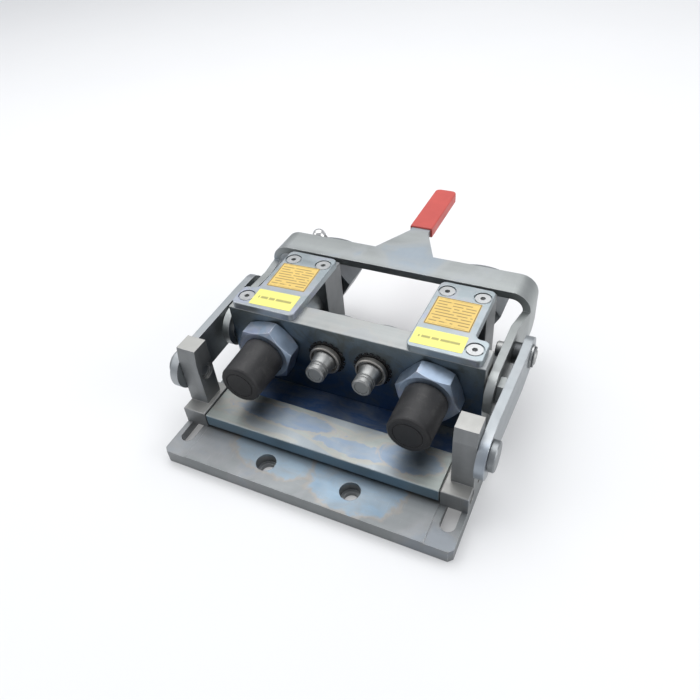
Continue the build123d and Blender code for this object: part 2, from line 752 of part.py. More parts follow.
# ================================ carriage ======================================================
bar_screw_y = [foot_front + foot_depth / 2 - bar_screw_pitch / 2,
               foot_front + foot_depth / 2 + bar_screw_pitch / 2]
bar_screw_z = bar_top - bar_thick / 2
with BuildPart() as carriage_bar:
    with BuildSketch(Plane.XY.offset(bar_z)):
        with Locations((0, bar_front + bar_depth / 2)):
            Rectangle(2 * bar_half, bar_depth)
    extrude(amount=bar_thick)
    chamfer(carriage_bar.edges(), edge_break)
    for side in (-1, 1):
        with BuildSketch(side_plane(side * bar_half)):
            with Locations(*[(y, bar_screw_z) for y in bar_screw_y]):
                Circle(bar_screw_dia / 2)
        extrude(amount=-side * bar_screw_reach, mode=Mode.SUBTRACT)
keep(carriage_bar.part, "carriage_bar")

with BuildPart() as foot_block_right:
    with BuildSketch(Plane.XY.offset(foot_bottom)):
        with Locations((half_base - foot_width / 2, foot_front + foot_depth / 2)):
            Rectangle(foot_width, foot_depth)
    extrude(amount=foot_top - foot_bottom)
    chamfer(foot_block_right.edges().group_by(Axis.Z)[-1], edge_break)
    # upright with its front face leaning back towards the top
    with BuildSketch(side_plane(upright_inner)):
        with BuildLine():
            Polyline(
                (upright_front, foot_top - upright_root),
                (upright_front, upright_top - upright_bevel_rise),
                (upright_front + upright_bevel_run, upright_top),
                (upright_front + upright_depth, upright_top),
                (upright_front + upright_depth, foot_top - upright_root), close=True)
        make_face()
    extrude(amount=upright_width)
    # joint face towards the cross bar
    with BuildSketch(Plane.XY.offset(bar_z)):
        with Locations((foot_inner - bar_end_gap / 2, bar_front + bar_depth / 2)):
            Rectangle(bar_end_gap, bar_depth - 2 * joint_inset)
    extrude(amount=bar_thick - joint_inset)
    # bore for the front pin, opened out on the inner side
    with BuildSketch(side_plane(upright_inner)):
        with Locations((front_pin_y, axis_z)):
            Circle(front_pin_dia / 2)
    extrude(amount=upright_width, mode=Mode.SUBTRACT)
    with BuildSketch(side_plane(upright_inner)):
        with Locations((front_pin_y, axis_z)):
            Circle(pin_inset_dia / 2)
    extrude(amount=pin_inset_depth, mode=Mode.SUBTRACT)
    # counterbored holes for the screws into the cross bar
    with BuildSketch(side_plane(half_base)):
        with Locations(*[(y, bar_screw_z) for y in bar_screw_y]):
            Circle(bar_screw_dia / 2)
    extrude(amount=-foot_width - bar_end_gap, mode=Mode.SUBTRACT)
    with BuildSketch(side_plane(half_base)):
        with Locations(*[(y, bar_screw_z) for y in bar_screw_y]):
            Circle(bar_screw_head / 2 + bar_screw_bore_gap)
    extrude(amount=-bar_screw_head_len - bar_screw_sunk, mode=Mode.SUBTRACT)
    # threaded hole for the guide screw
    with BuildSketch(Plane.XY.offset(foot_bottom)):
        with Locations((slot_x, guide_y)):
            Circle(guide_thread / 2)
    extrude(amount=guide_thread_reach, mode=Mode.SUBTRACT)
keep(foot_block_right.part, "foot_block_right")
keep(mirrored(foot_block_right.part), "foot_block_left")

with BuildPart() as bar_screws:
    for side in (-1, 1):
        seat = side * (half_base - bar_screw_head_len - bar_screw_sunk)
        with BuildSketch(side_plane(seat)):
            with Locations(*[(y, bar_screw_z) for y in bar_screw_y]):
                Circle(bar_screw_head / 2)
        extrude(amount=side * bar_screw_head_len)
        with BuildSketch(side_plane(seat)):
            with Locations(*[(y, bar_screw_z) for y in bar_screw_y]):
                Circle(bar_screw_dia / 2)
        extrude(amount=-side * (abs(seat) - bar_half + bar_screw_reach - thread_spare))
        with BuildSketch(side_plane(side * (half_base - bar_screw_sunk))):
            with Locations(*[(y, bar_screw_z) for y in bar_screw_y]):
                RegularPolygon(bar_socket_af / 2, 6, major_radius=False)
        extrude(amount=-side * bar_socket_depth, mode=Mode.SUBTRACT)
keep(bar_screws.part, "bar_screws")

with BuildPart() as guide_screws:
    head_top = slot_recess_depth - guide_head_gap
    with BuildSketch(Plane.XY.offset(head_top - guide_head_thick)):
        with Locations((-slot_x, guide_y), (slot_x, guide_y)):
            Circle(guide_head_dia / 2)
    extrude(amount=guide_head_thick)
    with BuildSketch(Plane.XY.offset(head_top)):
        with Locations((-slot_x, guide_y), (slot_x, guide_y)):
            Circle(guide_dia / 2)
    extrude(amount=foot_bottom - head_top)
    with BuildSketch(Plane.XY.offset(foot_bottom)):
        with Locations((-slot_x, guide_y), (slot_x, guide_y)):
            Circle(guide_thread / 2)
    extrude(amount=guide_thread_reach - thread_spare)
keep(guide_screws.part, "guide_screws")

# front pins: fixed in the uprights, their heads outside the links
with BuildPart() as front_pin_right:
    pin_in = upright_inner + pin_inset_depth
    head_in = link_outer + front_head_gap
    with BuildSketch(side_plane(pin_in)):
        with Locations((front_pin_y, axis_z)):
            Circle(front_pin_dia / 2)
    extrude(amount=head_in - pin_in)
    with BuildSketch(side_plane(head_in)):
        with Locations((front_pin_y, axis_z)):
            Circle(front_pin_head / 2)
    extrude(amount=front_pin_head_thick)
    chamfer(front_pin_right.edges().sort_by(Axis.X)[-1], pin_bevel)
    chamfer(front_pin_right.edges().sort_by(Axis.X)[0], pin_bevel)
keep(front_pin_right.part, "front_pin_right")
keep(mirrored(front_pin_right.part), "front_pin_left")

# ================================ links =========================================================
with BuildPart() as link_right:
    with BuildSketch(side_plane(link_inner)):
        with Locations((front_pin_y + link_length / 2, axis_z - link_drop)):
            SlotCenterToCenter(link_length, 2 * link_half)
    extrude(amount=link_thick + link_set)
    # the path of the flat bar seen from above, with its set
    with BuildSketch(Plane.XY.offset(axis_z - link_drop - link_half)):
        with BuildLine():
            Polyline(
                (link_inner, front_pin_y - 2 * link_half), (link_inner, link_bend_from),
                (link_rear_inner, link_bend_to), (link_rear_inner, rear_pin_y + 2 * link_half),
                (link_rear_outer, rear_pin_y + 2 * link_half), (link_rear_outer, link_bend_to),
                (link_outer, link_bend_from), (link_outer, front_pin_y - 2 * link_half),
                close=True)
        make_face()
    extrude(amount=2 * link_half, mode=Mode.INTERSECT)
    with BuildSketch(side_plane(link_inner)):
        with Locations((rear_pin_y, axis_z)):
            Circle(pin_dia / 2 + run_gap)
        with Locations((front_pin_y, axis_z)):
            Circle(front_hole_dia / 2)
    extrude(amount=link_thick + link_set, mode=Mode.SUBTRACT)
keep(link_right.part, "link_right")
keep(mirrored(link_right.part), "link_left")

# ================================ bail lever ====================================================
arm_low = axis_z - crank_half
arm_high = axis_z + crank_half
strap_inner = strap_outer - bail_thick
bend_z = bail_top - bail_bend_radius
bend_x = strap_outer - bail_bend_radius
small_r = bail_bend_radius - bail_thick
bend_overlap = bail_thick / 2     # the straps reach this far into the arms
with BuildPart() as bail:
    # both arms from the side, then cut to their path seen from above
    with BuildSketch(side_plane(-strap_outer)):
        with BuildLine():
            Polyline((pivot_y, arm_high), (strap_front, bend_z), (strap_back, bend_z),
                     (strap_back, arm_low + strap_heel))
            RadiusArc((strap_back, arm_low + strap_heel), (strap_back - strap_heel, arm_low),
                      strap_heel)
            Line((strap_back - strap_heel, arm_low), (pivot_y, arm_low))
            ThreePointArc((pivot_y, arm_low), (pivot_y - crank_half, axis_z),
                          (pivot_y, arm_high))
        make_face()
    extrude(amount=2 * strap_outer)
    with BuildSketch(Plane.XY.offset(arm_low)):
        for side in (-1, 1):
            with BuildLine():
                Polyline(*[(side * x, y) for x, y in (
                    (crank_inner, pivot_y - 2 * crank_half), (crank_inner, bail_bend_from),
                    (strap_inner, bail_bend_to), (strap_inner, strap_back),
                    (strap_outer, strap_back), (strap_outer, bail_bend_to),
                    (crank_outer, bail_bend_from), (crank_outer, pivot_y - 2 * crank_half))],
                    close=True)
            make_face()
    extrude(amount=2 * crank_half, mode=Mode.INTERSECT)
    # straps and their bends up to the cross bar
    with BuildSketch(Plane(origin=(0, strap_back, 0), x_dir=(1, 0, 0), z_dir=(0, -1, 0))):
        for side in (-1, 1):
            with BuildLine():
                Line((side * strap_outer, bend_z - bend_overlap), (side * strap_outer, bend_z))
                ThreePointArc(
                    (side * strap_outer, bend_z),
                    (side * (bend_x + bail_bend_radius * cos(radians(45))),
                     bend_z + bail_bend_radius * sin(radians(45))),
                    (side * bend_x, bail_top))
                Line((side * bend_x, bail_top), (side * bend_x, bail_under))
                ThreePointArc(
                    (side * bend_x, bail_under),
                    (side * (bend_x + small_r * cos(radians(45))),
                     bend_z + small_r * sin(radians(45))),
                    (side * strap_inner, bend_z))
                Polyline((side * strap_inner, bend_z), (side * strap_inner, bend_z - bend_overlap),
                         (side * strap_outer, bend_z - bend_overlap))
            make_face()
    extrude(amount=strap_depth)
    # cross bar and handle, one flat outline
    with BuildSketch(Plane.XY.offset(bail_under)):
        with BuildLine():
            Polyline(
                (-bend_x, strap_front), (bend_x, strap_front), (bend_x, strap_back),
                (handle_root_width / 2, strap_back), (handle_x + handle_width / 2, handle_flare_y),
                (handle_x + handle_width / 2, handle_end),
                (handle_x - handle_width / 2, handle_end),
                (handle_x - handle_width / 2, handle_flare_y),
                (-handle_root_width / 2, strap_back),
                (-bend_x, strap_back), close=True)
        make_face()
    extrude(amount=bail_thick)
    for side in (-1, 1):
        with BuildSketch(side_plane(side * crank_inner)):
            with Locations((pivot_y, axis_z)):
                Circle(pin_dia / 2 + run_gap)
            with Locations((rear_pin_y, axis_z)):
                Circle(pin_dia / 2)
        extrude(amount=side * bail_thick, mode=Mode.SUBTRACT)
keep(bail.part, "bail")

with BuildPart() as grip:
    with BuildSketch(Plane.XY.offset(bail_under - grip_thick)) as grip_outline:
        with Locations((handle_x, (grip_start + grip_end) / 2)):
            Rectangle(handle_width + 2 * grip_thick, grip_end - grip_start)
        fillet(grip_outline.vertices().group_by(Axis.Y)[-1], grip_corner)
    extrude(amount=bail_thick + 2 * grip_thick)
    fillet(grip.faces().sort_by(Axis.Z)[-1].edges() + grip.faces().sort_by(Axis.Z)[0].edges(),
           grip_edge)
    with BuildSketch(Plane.XY.offset(bail_under)):
        with Locations((handle_x, (grip_start + handle_end) / 2)):
            Rectangle(handle_width, handle_end - grip_start)
    extrude(amount=bail_thick, mode=Mode.SUBTRACT)
keep(grip.part, "grip")

# pivot bolts: threaded into the coupling plate's ends, running in the cranks
with BuildPart() as pivot_bolts:
    for side in (-1, 1):
        head_at = crank_outer + side_play
        with BuildSketch(side_plane(side * (plate_half - pivot_bolt_reach + thread_spare))):
            with Locations((pivot_y, axis_z)):
                Circle(pin_dia / 2)
        extrude(amount=side * (head_at - plate_half + pivot_bolt_reach - thread_spare))
        with BuildSketch(side_plane(side * head_at)):
            with Locations((pivot_y, axis_z)):
                RegularPolygon(pivot_head_af / 2, 6, major_radius=False)
        extrude(amount=side * pivot_head_len)
keep(pivot_bolts.part, "pivot_bolts")

with BuildPart() as pivot_washers:
    for side in (-1, 1):
        with BuildSketch(side_plane(side * plate_half)):
            with Locations((pivot_y, axis_z)):
                Circle(washer_dia / 2)
                Circle(pin_dia / 2, mode=Mode.SUBTRACT)
        extrude(amount=side * (crank_gap - washer_gap))
keep(pivot_washers.part, "pivot_washers")

# rear pins: pressed into the cranks; spacer, link, washer and circlip follow outwards
with BuildPart() as rear_pin_right:
    with BuildSketch(side_plane(crank_inner - rear_pin_stub)):
        with Locations((rear_pin_y, axis_z)):
            Circle(pin_dia / 2)
    extrude(amount=rear_pin_end - crank_inner + rear_pin_stub)
    chamfer(rear_pin_right.edges().sort_by(Axis.X)[-1], pin_bevel)
    chamfer(rear_pin_right.edges().sort_by(Axis.X)[0], pin_bevel)
keep(rear_pin_right.part, "rear_pin_right")
keep(mirrored(rear_pin_right.part), "rear_pin_left")

with BuildPart() as spacer_right:
    with BuildSketch(side_plane(crank_outer)):
        with Locations((rear_pin_y, axis_z)):
            Circle(spacer_dia / 2)
            Circle(pin_dia / 2, mode=Mode.SUBTRACT)
    extrude(amount=link_rear_inner - crank_outer - side_play)
keep(spacer_right.part, "spacer_right")
keep(mirrored(spacer_right.part), "spacer_left")

with BuildPart() as rear_washers:
    for side in (-1, 1):
        with BuildSketch(side_plane(side * rear_washer_x)):
            with Locations((rear_pin_y, axis_z)):
                Circle(rear_washer_dia / 2)
                Circle(pin_dia / 2, mode=Mode.SUBTRACT)
        extrude(amount=side * rear_washer_thick)
keep(rear_washers.part, "rear_washers")

with BuildPart() as circlips:
    for side in (-1, 1):
        with BuildSketch(side_plane(side * circlip_x)):
            with Locations((rear_pin_y, axis_z)):
                Circle(circlip_dia / 2)
                Circle(pin_dia / 2, mode=Mode.SUBTRACT)
            with Locations((rear_pin_y, axis_z - circlip_dia / 2)):
                Rectangle(circlip_gap_width, circlip_gap_depth, mode=Mode.SUBTRACT)
        extrude(amount=side * circlip_thick)
keep(circlips.part, "circlips")
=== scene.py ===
"""Looks of a lever-operated hydraulic multi-coupling: materials, label foils, light, camera."""
from math import pi, radians

import bpy
from mathutils import Matrix, Vector


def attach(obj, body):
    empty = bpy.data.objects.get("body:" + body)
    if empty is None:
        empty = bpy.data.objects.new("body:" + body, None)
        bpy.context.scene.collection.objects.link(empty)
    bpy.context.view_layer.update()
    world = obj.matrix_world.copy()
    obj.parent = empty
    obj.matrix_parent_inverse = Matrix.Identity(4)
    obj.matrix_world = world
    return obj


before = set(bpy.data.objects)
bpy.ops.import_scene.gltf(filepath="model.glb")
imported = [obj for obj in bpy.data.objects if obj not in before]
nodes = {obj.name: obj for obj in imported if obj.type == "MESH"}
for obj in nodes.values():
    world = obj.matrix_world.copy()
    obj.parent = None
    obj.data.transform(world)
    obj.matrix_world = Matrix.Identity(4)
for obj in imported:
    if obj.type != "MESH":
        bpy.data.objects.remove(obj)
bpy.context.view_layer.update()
MM = 0.001

# ---- sizes, in mm -----------------------------------------------------------------------------
LABEL_TOP = 113.0            # top of the label plates
FOIL = 0.15                  # thickness of a printed foil
FOIL_CORNER = 1.2            # rounding of its corners
FOIL_LIFT = 0.01             # above the plate, so the two faces don't coincide
BUMP_DEPTH = 0.06            # depth of the machining lines


# ================================ node helpers ==================================================
def add_node(tree, kind, inputs=None, **settings):
    """A node with its settings and inputs; an input may be a value or another node's socket."""
    made = tree.nodes.new(kind)
    for key, value in settings.items():
        setattr(made, key, value)
    for key, value in (inputs or {}).items():
        if isinstance(value, bpy.types.NodeSocket):
            tree.links.new(value, made.inputs[key])
        else:
            made.inputs[key].default_value = value
    return made


def math_node(tree, operation, a, b=0.0, clamp=False):
    return add_node(tree, "ShaderNodeMath", {0: a, 1: b}, operation=operation,
                    use_clamp=clamp).outputs[0]


def ramp(tree, value, low, high, out_low=0.0, out_high=1.0):
    """A value mapped from low..high to out_low..out_high, held at both ends."""
    return add_node(tree, "ShaderNodeMapRange", {"Value": value, "From Min": low, "From Max": high,
                    "To Min": out_low, "To Max": out_high}).outputs["Result"]


def blend_colour(tree, amount, a, b, mode="MIX"):
    made = add_node(tree, "ShaderNodeMix", data_type="RGBA", blend_type=mode)
    for index, value in ((0, amount), (6, a), (7, b)):
        if isinstance(value, bpy.types.NodeSocket):
            tree.links.new(value, made.inputs[index])
        else:
            made.inputs[index].default_value = value
    return made.outputs[2]


def noise(tree, vector, scale, detail=4.0, rough=0.55, distortion=0.0):
    return add_node(tree, "ShaderNodeTexNoise", {"Vector": vector, "Scale": scale,
                    "Detail": detail, "Roughness": rough, "Distortion": distortion}).outputs["Fac"]


def stretched(tree, vector, scale):
    return add_node(tree, "ShaderNodeMapping", {"Vector": vector, "Scale": scale}).outputs["Vector"]


def new_group(name, inputs, outputs):
    """An empty node group: inputs are (name, kind, value), outputs are (name, kind)."""
    tree = bpy.data.node_groups.new(name, "ShaderNodeTree")
    for label, kind, value in inputs:
        made = tree.interface.new_socket(label, in_out="INPUT", socket_type="NodeSocket" + kind)
        if value is not None:
            made.default_value = value
    for label, kind in outputs:
        tree.interface.new_socket(label, in_out="OUTPUT", socket_type="NodeSocket" + kind)
    return tree, tree.nodes.new("NodeGroupInput"), tree.nodes.new("NodeGroupOutput")


def use(tree, group, inputs):
    made = add_node(tree, "ShaderNodeGroup", node_tree=group)
    for key, value in inputs.items():
        if isinstance(value, bpy.types.NodeSocket):
            tree.links.new(value, made.inputs[key])
        else:
            made.inputs[key].default_value = value
    return made.outputs


def rgb(r, g, b):
    return (r, g, b, 1.0)


# ================================ shared surface effects ========================================
def build_edge_wear():
    """Pale edges, for rubbed edges and, on the nuts, painted highlights: how far the softened
    normal turns away from the true one, broken by noise.
    """
    tree, gin, gout = new_group("edge_wear", [
        ("Vector", "Vector", None), ("Radius", "Float", 0.0008), ("Breakup", "Float", 90.0)],
        [("Mask", "Float"), ("Normal", "Vector")])
    soft = add_node(tree, "ShaderNodeBevel", {"Radius": gin.outputs["Radius"]}, samples=4)
    true = add_node(tree, "ShaderNodeNewGeometry")
    dot = add_node(tree, "ShaderNodeVectorMath", {
        0: soft.outputs[0], 1: true.outputs["True Normal"]},
        operation="DOT_PRODUCT").outputs["Value"]
    turned = ramp(tree, dot, 0.995, 0.80)
    broken = ramp(tree, noise(tree, gin.outputs["Vector"], gin.outputs["Breakup"], 5.0), 0.35, 0.62)
    tree.links.new(math_node(tree, "MULTIPLY", turned, broken), gout.inputs["Mask"])
    tree.links.new(soft.outputs[0], gout.inputs["Normal"])
    return tree


def build_brushed():
    """Fine parallel machining lines: a height, and a slow tone that varies with them."""
    tree, gin, gout = new_group("brushed_lines", [
        ("Vector", "Vector", None), ("Fine", "Float", 1.0), ("Coarse", "Float", 0.35)],
        [("Height", "Float"), ("Tone", "Float")])
    fine = noise(tree, gin.outputs["Vector"], 1.0, 3.0, 0.7)
    wide = noise(tree, gin.outputs["Vector"], 0.22, 2.0, 0.5)
    height = math_node(tree, "ADD", math_node(tree, "MULTIPLY", fine, gin.outputs["Fine"]),
                       math_node(tree, "MULTIPLY", wide, gin.outputs["Coarse"]))
    tree.links.new(height, gout.inputs["Height"])
    tree.links.new(ramp(tree, wide, 0.3, 0.7), gout.inputs["Tone"])
    return tree


def build_bloom():
    """Zinc bloom: soft patches with a narrow rim around each."""
    tree, gin, gout = new_group("zinc_bloom", [
        ("Vector", "Vector", None), ("Scale", "Float", 18.0), ("Level", "Float", 0.55),
        ("Softness", "Float", 0.06), ("Drift", "Float", 0.8)],
        [("Patch", "Float"), ("Rim", "Float")])
    field = add_node(tree, "ShaderNodeTexNoise", {
        "Vector": gin.outputs["Vector"], "Scale": gin.outputs["Scale"], "Detail": 6.0,
        "Roughness": 0.55, "Distortion": gin.outputs["Drift"]}).outputs["Fac"]
    past = math_node(tree, "SUBTRACT", field, gin.outputs["Level"])
    share = math_node(tree, "DIVIDE", past, gin.outputs["Softness"])
    patch = ramp(tree, share, -1.0, 1.0)
    rim = ramp(tree, math_node(tree, "ABSOLUTE", share), 1.0, 0.0)
    tree.links.new(patch, gout.inputs["Patch"])
    tree.links.new(rim, gout.inputs["Rim"])
    return tree


def build_handling():
    """Handling marks: soft smudges, fine specks and hairline scratches."""
    tree, gin, gout = new_group("handling", [("Vector", "Vector", None), ("Size", "Float", 1.0)],
                                [("Smudge", "Float"), ("Specks", "Float"), ("Scratches", "Float")])
    place = add_node(tree, "ShaderNodeVectorMath", {0: gin.outputs["Vector"],
                     "Scale": gin.outputs["Size"]}, operation="SCALE").outputs["Vector"]
    smudge = ramp(tree, noise(tree, place, 24.0, 5.0, 0.6, 0.4), 0.3, 0.72)
    specks = ramp(tree, noise(tree, place, 1400.0, 2.0, 0.5), 0.66, 0.75)
    marks = None
    for turn, stretch in ((0.5, (90, 2600, 900)), (1.9, (2300, 80, 900)), (1.1, (1900, 70, 70))):
        turned = add_node(tree, "ShaderNodeMapping", {
            "Vector": place, "Rotation": (0.2, 0.1, turn), "Scale": stretch}).outputs["Vector"]
        one = ramp(tree, noise(tree, turned, 1.0, 1.0, 0.4), 0.735, 0.77)
        marks = one if marks is None else math_node(tree, "MAXIMUM", marks, one)
    tree.links.new(smudge, gout.inputs["Smudge"])
    tree.links.new(specks, gout.inputs["Specks"])
    tree.links.new(marks, gout.inputs["Scratches"])
    return tree


EDGE_WEAR = build_edge_wear()
BRUSHED = build_brushed()
BLOOM = build_bloom()
HANDLING = build_handling()


def new_material(name):
    """A material with a Principled shader on its output, and its object coordinates."""
    made = bpy.data.materials.new(name)
    made.use_nodes = True
    made.node_tree.nodes.clear()
    tree = made.node_tree
    shader = tree.nodes.new("ShaderNodeBsdfPrincipled")
    out = tree.nodes.new("ShaderNodeOutputMaterial")
    tree.links.new(shader.outputs[0], out.inputs["Surface"])
    coords = tree.nodes.new("ShaderNodeTexCoord").outputs["Object"]
    return made, tree, shader, coords


def patch_distance(tree, coords, centre, size, ragged, seed):
    """Distance from centre (m) as a share of size, made ragged: 1 is the patch's edge."""
    moved = add_node(tree, "ShaderNodeMapping", {
        "Vector": coords, "Location": tuple(-c / s for c, s in zip(centre, size)),
        "Scale": tuple(1 / s for s in size)}).outputs["Vector"]
    far = add_node(tree, "ShaderNodeVectorMath", {0: moved}, operation="LENGTH").outputs["Value"]
    shifted = add_node(tree, "ShaderNodeVectorMath", {0: coords, 1: (seed, seed, seed)},
                       operation="ADD").outputs["Vector"]
    wobble = ramp(tree, noise(tree, shifted, 48.0, 10.0, 0.66, 0.9), 0.2, 0.8, -ragged, ragged)
    return math_node(tree, "ADD", far, wobble)


def steel(name, tone, roughness, lines=(9, 700, 700), line_height=0.15, bloom=None,
          wear_and_glint_tone=(0.78, 0.79, 0.8), wear_and_glint=0.7, radius=0.7, patches=(), faces=(), front=None,
          bloom_stretch=(1.0, 1.0, 1.0), scratch=0.16):
    """A plated or ground steel: tone, machining lines, bloom patches, handling marks, rubbed edges
    (on the nuts also painted highlights), and painted light and shade on chosen faces.

    bloom is (patch colour, rim colour, scale, level, softness, strength).
    patches are (centre, size, ragged, seed, inner colour, rim colour) in metres.
    faces are (normal, colour, low, high): painted light and shade on the faces turned that way.
    front is (top colour, bottom colour, top z, bottom z): painted shade and dark reflection on the
    front and back faces, darker towards the bottom.
    """
    made, tree, shader, coords = new_material(name)
    wear_out = use(tree, EDGE_WEAR, {"Vector": coords, "Radius": radius * MM})
    grain = use(tree, BRUSHED, {"Vector": stretched(tree, coords, lines)})
    marks = use(tree, HANDLING, {"Vector": coords})
    light = rgb(*tone)
    dark = rgb(*(c * 0.80 for c in tone))
    colour = blend_colour(tree, ramp(tree, grain["Tone"], 0.0, 1.0, 0.15, 1.0), dark, light)
    colour = blend_colour(tree, ramp(tree, marks["Smudge"], 0, 1, 0.0, 0.30), colour,
                          rgb(*(c * 0.72 for c in tone)))
    if bloom:
        patch_tone, rim_tone, scale, level, softness, strength = bloom
        out = use(tree, BLOOM, {"Vector": stretched(tree, coords, bloom_stretch), "Scale": scale,
                                "Level": level, "Softness": softness})
        colour = blend_colour(tree, math_node(tree, "MULTIPLY", out["Patch"], strength), colour,
                              rgb(*patch_tone))
        colour = blend_colour(tree, math_node(tree, "MULTIPLY", out["Rim"], strength * 0.7), colour,
                              rgb(*rim_tone))
    for centre, size, ragged, seed, inner_tone, rim_tone in patches:
        far = patch_distance(tree, coords, centre, size, ragged, seed)
        inside = ramp(tree, far, 1.04, 0.96)
        off_edge = math_node(tree, "ABSOLUTE", math_node(tree, "SUBTRACT", far, 1.0))
        rim = ramp(tree, off_edge, 0.10, 0.02)
        veins = stretched(tree, coords, (0.4, 1.0, 1.0))
        cloud = ramp(tree, noise(tree, veins, 60.0, 7.0, 0.65, 1.2), 0.32, 0.62, 0.35, 1.0)
        colour = blend_colour(tree, math_node(tree, "MULTIPLY", inside, cloud), colour,
                              rgb(*inner_tone))
        colour = blend_colour(tree, math_node(tree, "MULTIPLY", rim, 0.6), colour, rgb(*rim_tone))
    normal = add_node(tree, "ShaderNodeNewGeometry").outputs["True Normal"]
    # painted light and shade: faces turned along a given direction take their own lighter or darker
    # colour
    for direction, painted_face_tone, low, high in faces:
        along = add_node(tree, "ShaderNodeVectorMath", {0: normal, 1: direction},
                         operation="DOT_PRODUCT").outputs["Value"]
        colour = blend_colour(tree, ramp(tree, along, low, high), colour, rgb(*painted_face_tone))
    # painted shade and dark reflection: front and back faces blend from the top colour down to the
    # darker bottom colour, with real brownish stains mixed in
    if front:
        top_tone, low_tone, top_z, low_z = front
        split = add_node(tree, "ShaderNodeSeparateXYZ", {0: coords}).outputs
        drift = ramp(tree, noise(tree, coords, 30.0, 5.0, 0.6, 0.5), 0.25, 0.75, -0.012, 0.012)
        level = ramp(tree, math_node(tree, "ADD", split["Z"], drift), low_z, top_z)
        front_shade_tone = blend_colour(tree, level, rgb(*low_tone), rgb(*top_tone))
        stains = ramp(tree, noise(tree, coords, 38.0, 7.0, 0.65, 1.0), 0.46, 0.62, 0.0, 0.6)
        front_shade_tone = blend_colour(tree, stains, front_shade_tone, rgb(0.12, 0.125, 0.11))
        shaded_facing = math_node(tree, "ABSOLUTE", add_node(tree, "ShaderNodeVectorMath", {
            0: normal, 1: (0, 1, 0)}, operation="DOT_PRODUCT").outputs["Value"])
        colour = blend_colour(tree, ramp(tree, shaded_facing, 0.6, 0.9), colour, front_shade_tone)
    # scratches and rubbed edges in the pale colour; on the nuts the rubbed edges also stand for
    # painted highlights
    colour = blend_colour(tree, math_node(tree, "MULTIPLY", marks["Scratches"], scratch * 0.5),
                          colour, rgb(*wear_and_glint_tone))
    colour = blend_colour(tree, math_node(tree, "MULTIPLY", wear_out["Mask"], wear_and_glint), colour,
                          rgb(*wear_and_glint_tone))
    tree.links.new(colour, shader.inputs["Base Color"])
    shader.inputs["Metallic"].default_value = 1.0
    smudged = ramp(tree, marks["Smudge"], 0, 1, roughness - 0.05, roughness + 0.10)
    rough = math_node(tree, "ADD", smudged, ramp(tree, grain["Tone"], 0, 1, -0.03, 0.03))
    polish = math_node(tree, "MULTIPLY", wear_out["Mask"], 0.12)
    rough = math_node(tree, "SUBTRACT", rough, polish, True)
    tree.links.new(rough, shader.inputs["Roughness"])
    height = math_node(tree, "SUBTRACT", grain["Height"],
                       math_node(tree, "MULTIPLY", marks["Scratches"], scratch))
    bump = add_node(tree, "ShaderNodeBump", {"Height": height, "Strength": line_height,
                    "Distance": BUMP_DEPTH * MM, "Normal": wear_out["Normal"]})
    tree.links.new(bump.outputs[0], shader.inputs["Normal"])
    return made


BASE_RIM = (0.29, 0.265, 0.235)      # tan edge of the stains on the base
BAR_RIM = (0.34, 0.315, 0.28)        # and of those on the cross bar

base_finish = steel(
    "base_zinc_grey", (0.26, 0.275, 0.28), 0.50, lines=(14, 520, 520), line_height=0.22,
    bloom=((0.23, 0.26, 0.31), (0.29, 0.275, 0.26), 14, 0.58, 0.08, 0.35),
    patches=[
        ((-0.036, 0.044, 0.016), (0.056, 0.031, 0.004), 0.22, 0.0, (0.235, 0.30, 0.355), BASE_RIM),
        ((0.047, 0.034, 0.016), (0.049, 0.034, 0.004), 0.22, 3.0, (0.215, 0.285, 0.35), BASE_RIM),
        # a dark blue patch on the base between the bar's rear edge and the coupling plate: the
        # zinc's blue there, darkened as painted shade
        ((0.0, 0.108, 0.016), (0.13, 0.026, 0.004), 0.25, 5.0, (0.06, 0.12, 0.26),
         (0.16, 0.19, 0.22))])
# painted light: the top faces of the uprights and feet are lighter
block_finish = steel(
    "upright_zinc_grey", (0.265, 0.275, 0.28), 0.50, lines=(520, 520, 14), line_height=0.2,
    bloom=((0.21, 0.24, 0.28), (0.27, 0.26, 0.24), 22, 0.60, 0.06, 0.3), wear_and_glint=0.4,
    faces=[((0, 0, 1), (0.38, 0.38, 0.365), 0.6, 0.9)])
bar_finish = steel(
    "bar_pale_bloom", (0.33, 0.36, 0.345), 0.46, lines=(8, 620, 620), line_height=0.28,
    bloom=((0.26, 0.29, 0.33), (0.37, 0.335, 0.28), 34, 0.53, 0.05, 0.6),
    bloom_stretch=(0.28, 1.0, 1.0),
    patches=[
        ((-0.045, 0.070, 0.0335), (0.062, 0.011, 0.006), 0.35, 0.0, (0.205, 0.26, 0.345), BAR_RIM),
        ((0.035, 0.058, 0.0335), (0.042, 0.009, 0.006), 0.40, 2.0, (0.22, 0.275, 0.35),
         (0.35, 0.33, 0.29)),
        ((0.088, 0.066, 0.0335), (0.032, 0.016, 0.006), 0.35, 4.0, (0.21, 0.265, 0.34), BAR_RIM)],
    # painted shade: the bar's front faces are darker and bluer
    faces=[((0, -1, 0), (0.19, 0.27, 0.33), 0.6, 0.9)], wear_and_glint=0.4)
# painted shade and dark reflection on the plate's front and back faces, darker and bluer towards
# the bottom
plate_finish = steel(
    "coupling_plate_steel", (0.38, 0.395, 0.39), 0.42, lines=(8, 620, 620), line_height=0.22,
    bloom=((0.33, 0.345, 0.36), (0.39, 0.37, 0.34), 18, 0.52, 0.06, 0.4),
    front=((0.18, 0.215, 0.23), (0.055, 0.10, 0.175), 0.106, 0.050), wear_and_glint=0.3)
block_rear_finish = steel("rear_block_steel", (0.24, 0.25, 0.255), 0.46, line_height=0.2,
                          lines=(520, 520, 14))
label_finish = steel(
    "label_plate_zinc", (0.37, 0.42, 0.44), 0.38, lines=(12, 460, 460), line_height=0.10,
    bloom=((0.37, 0.38, 0.50), (0.41, 0.42, 0.38), 24, 0.54, 0.07, 0.5), wear_and_glint=0.5)
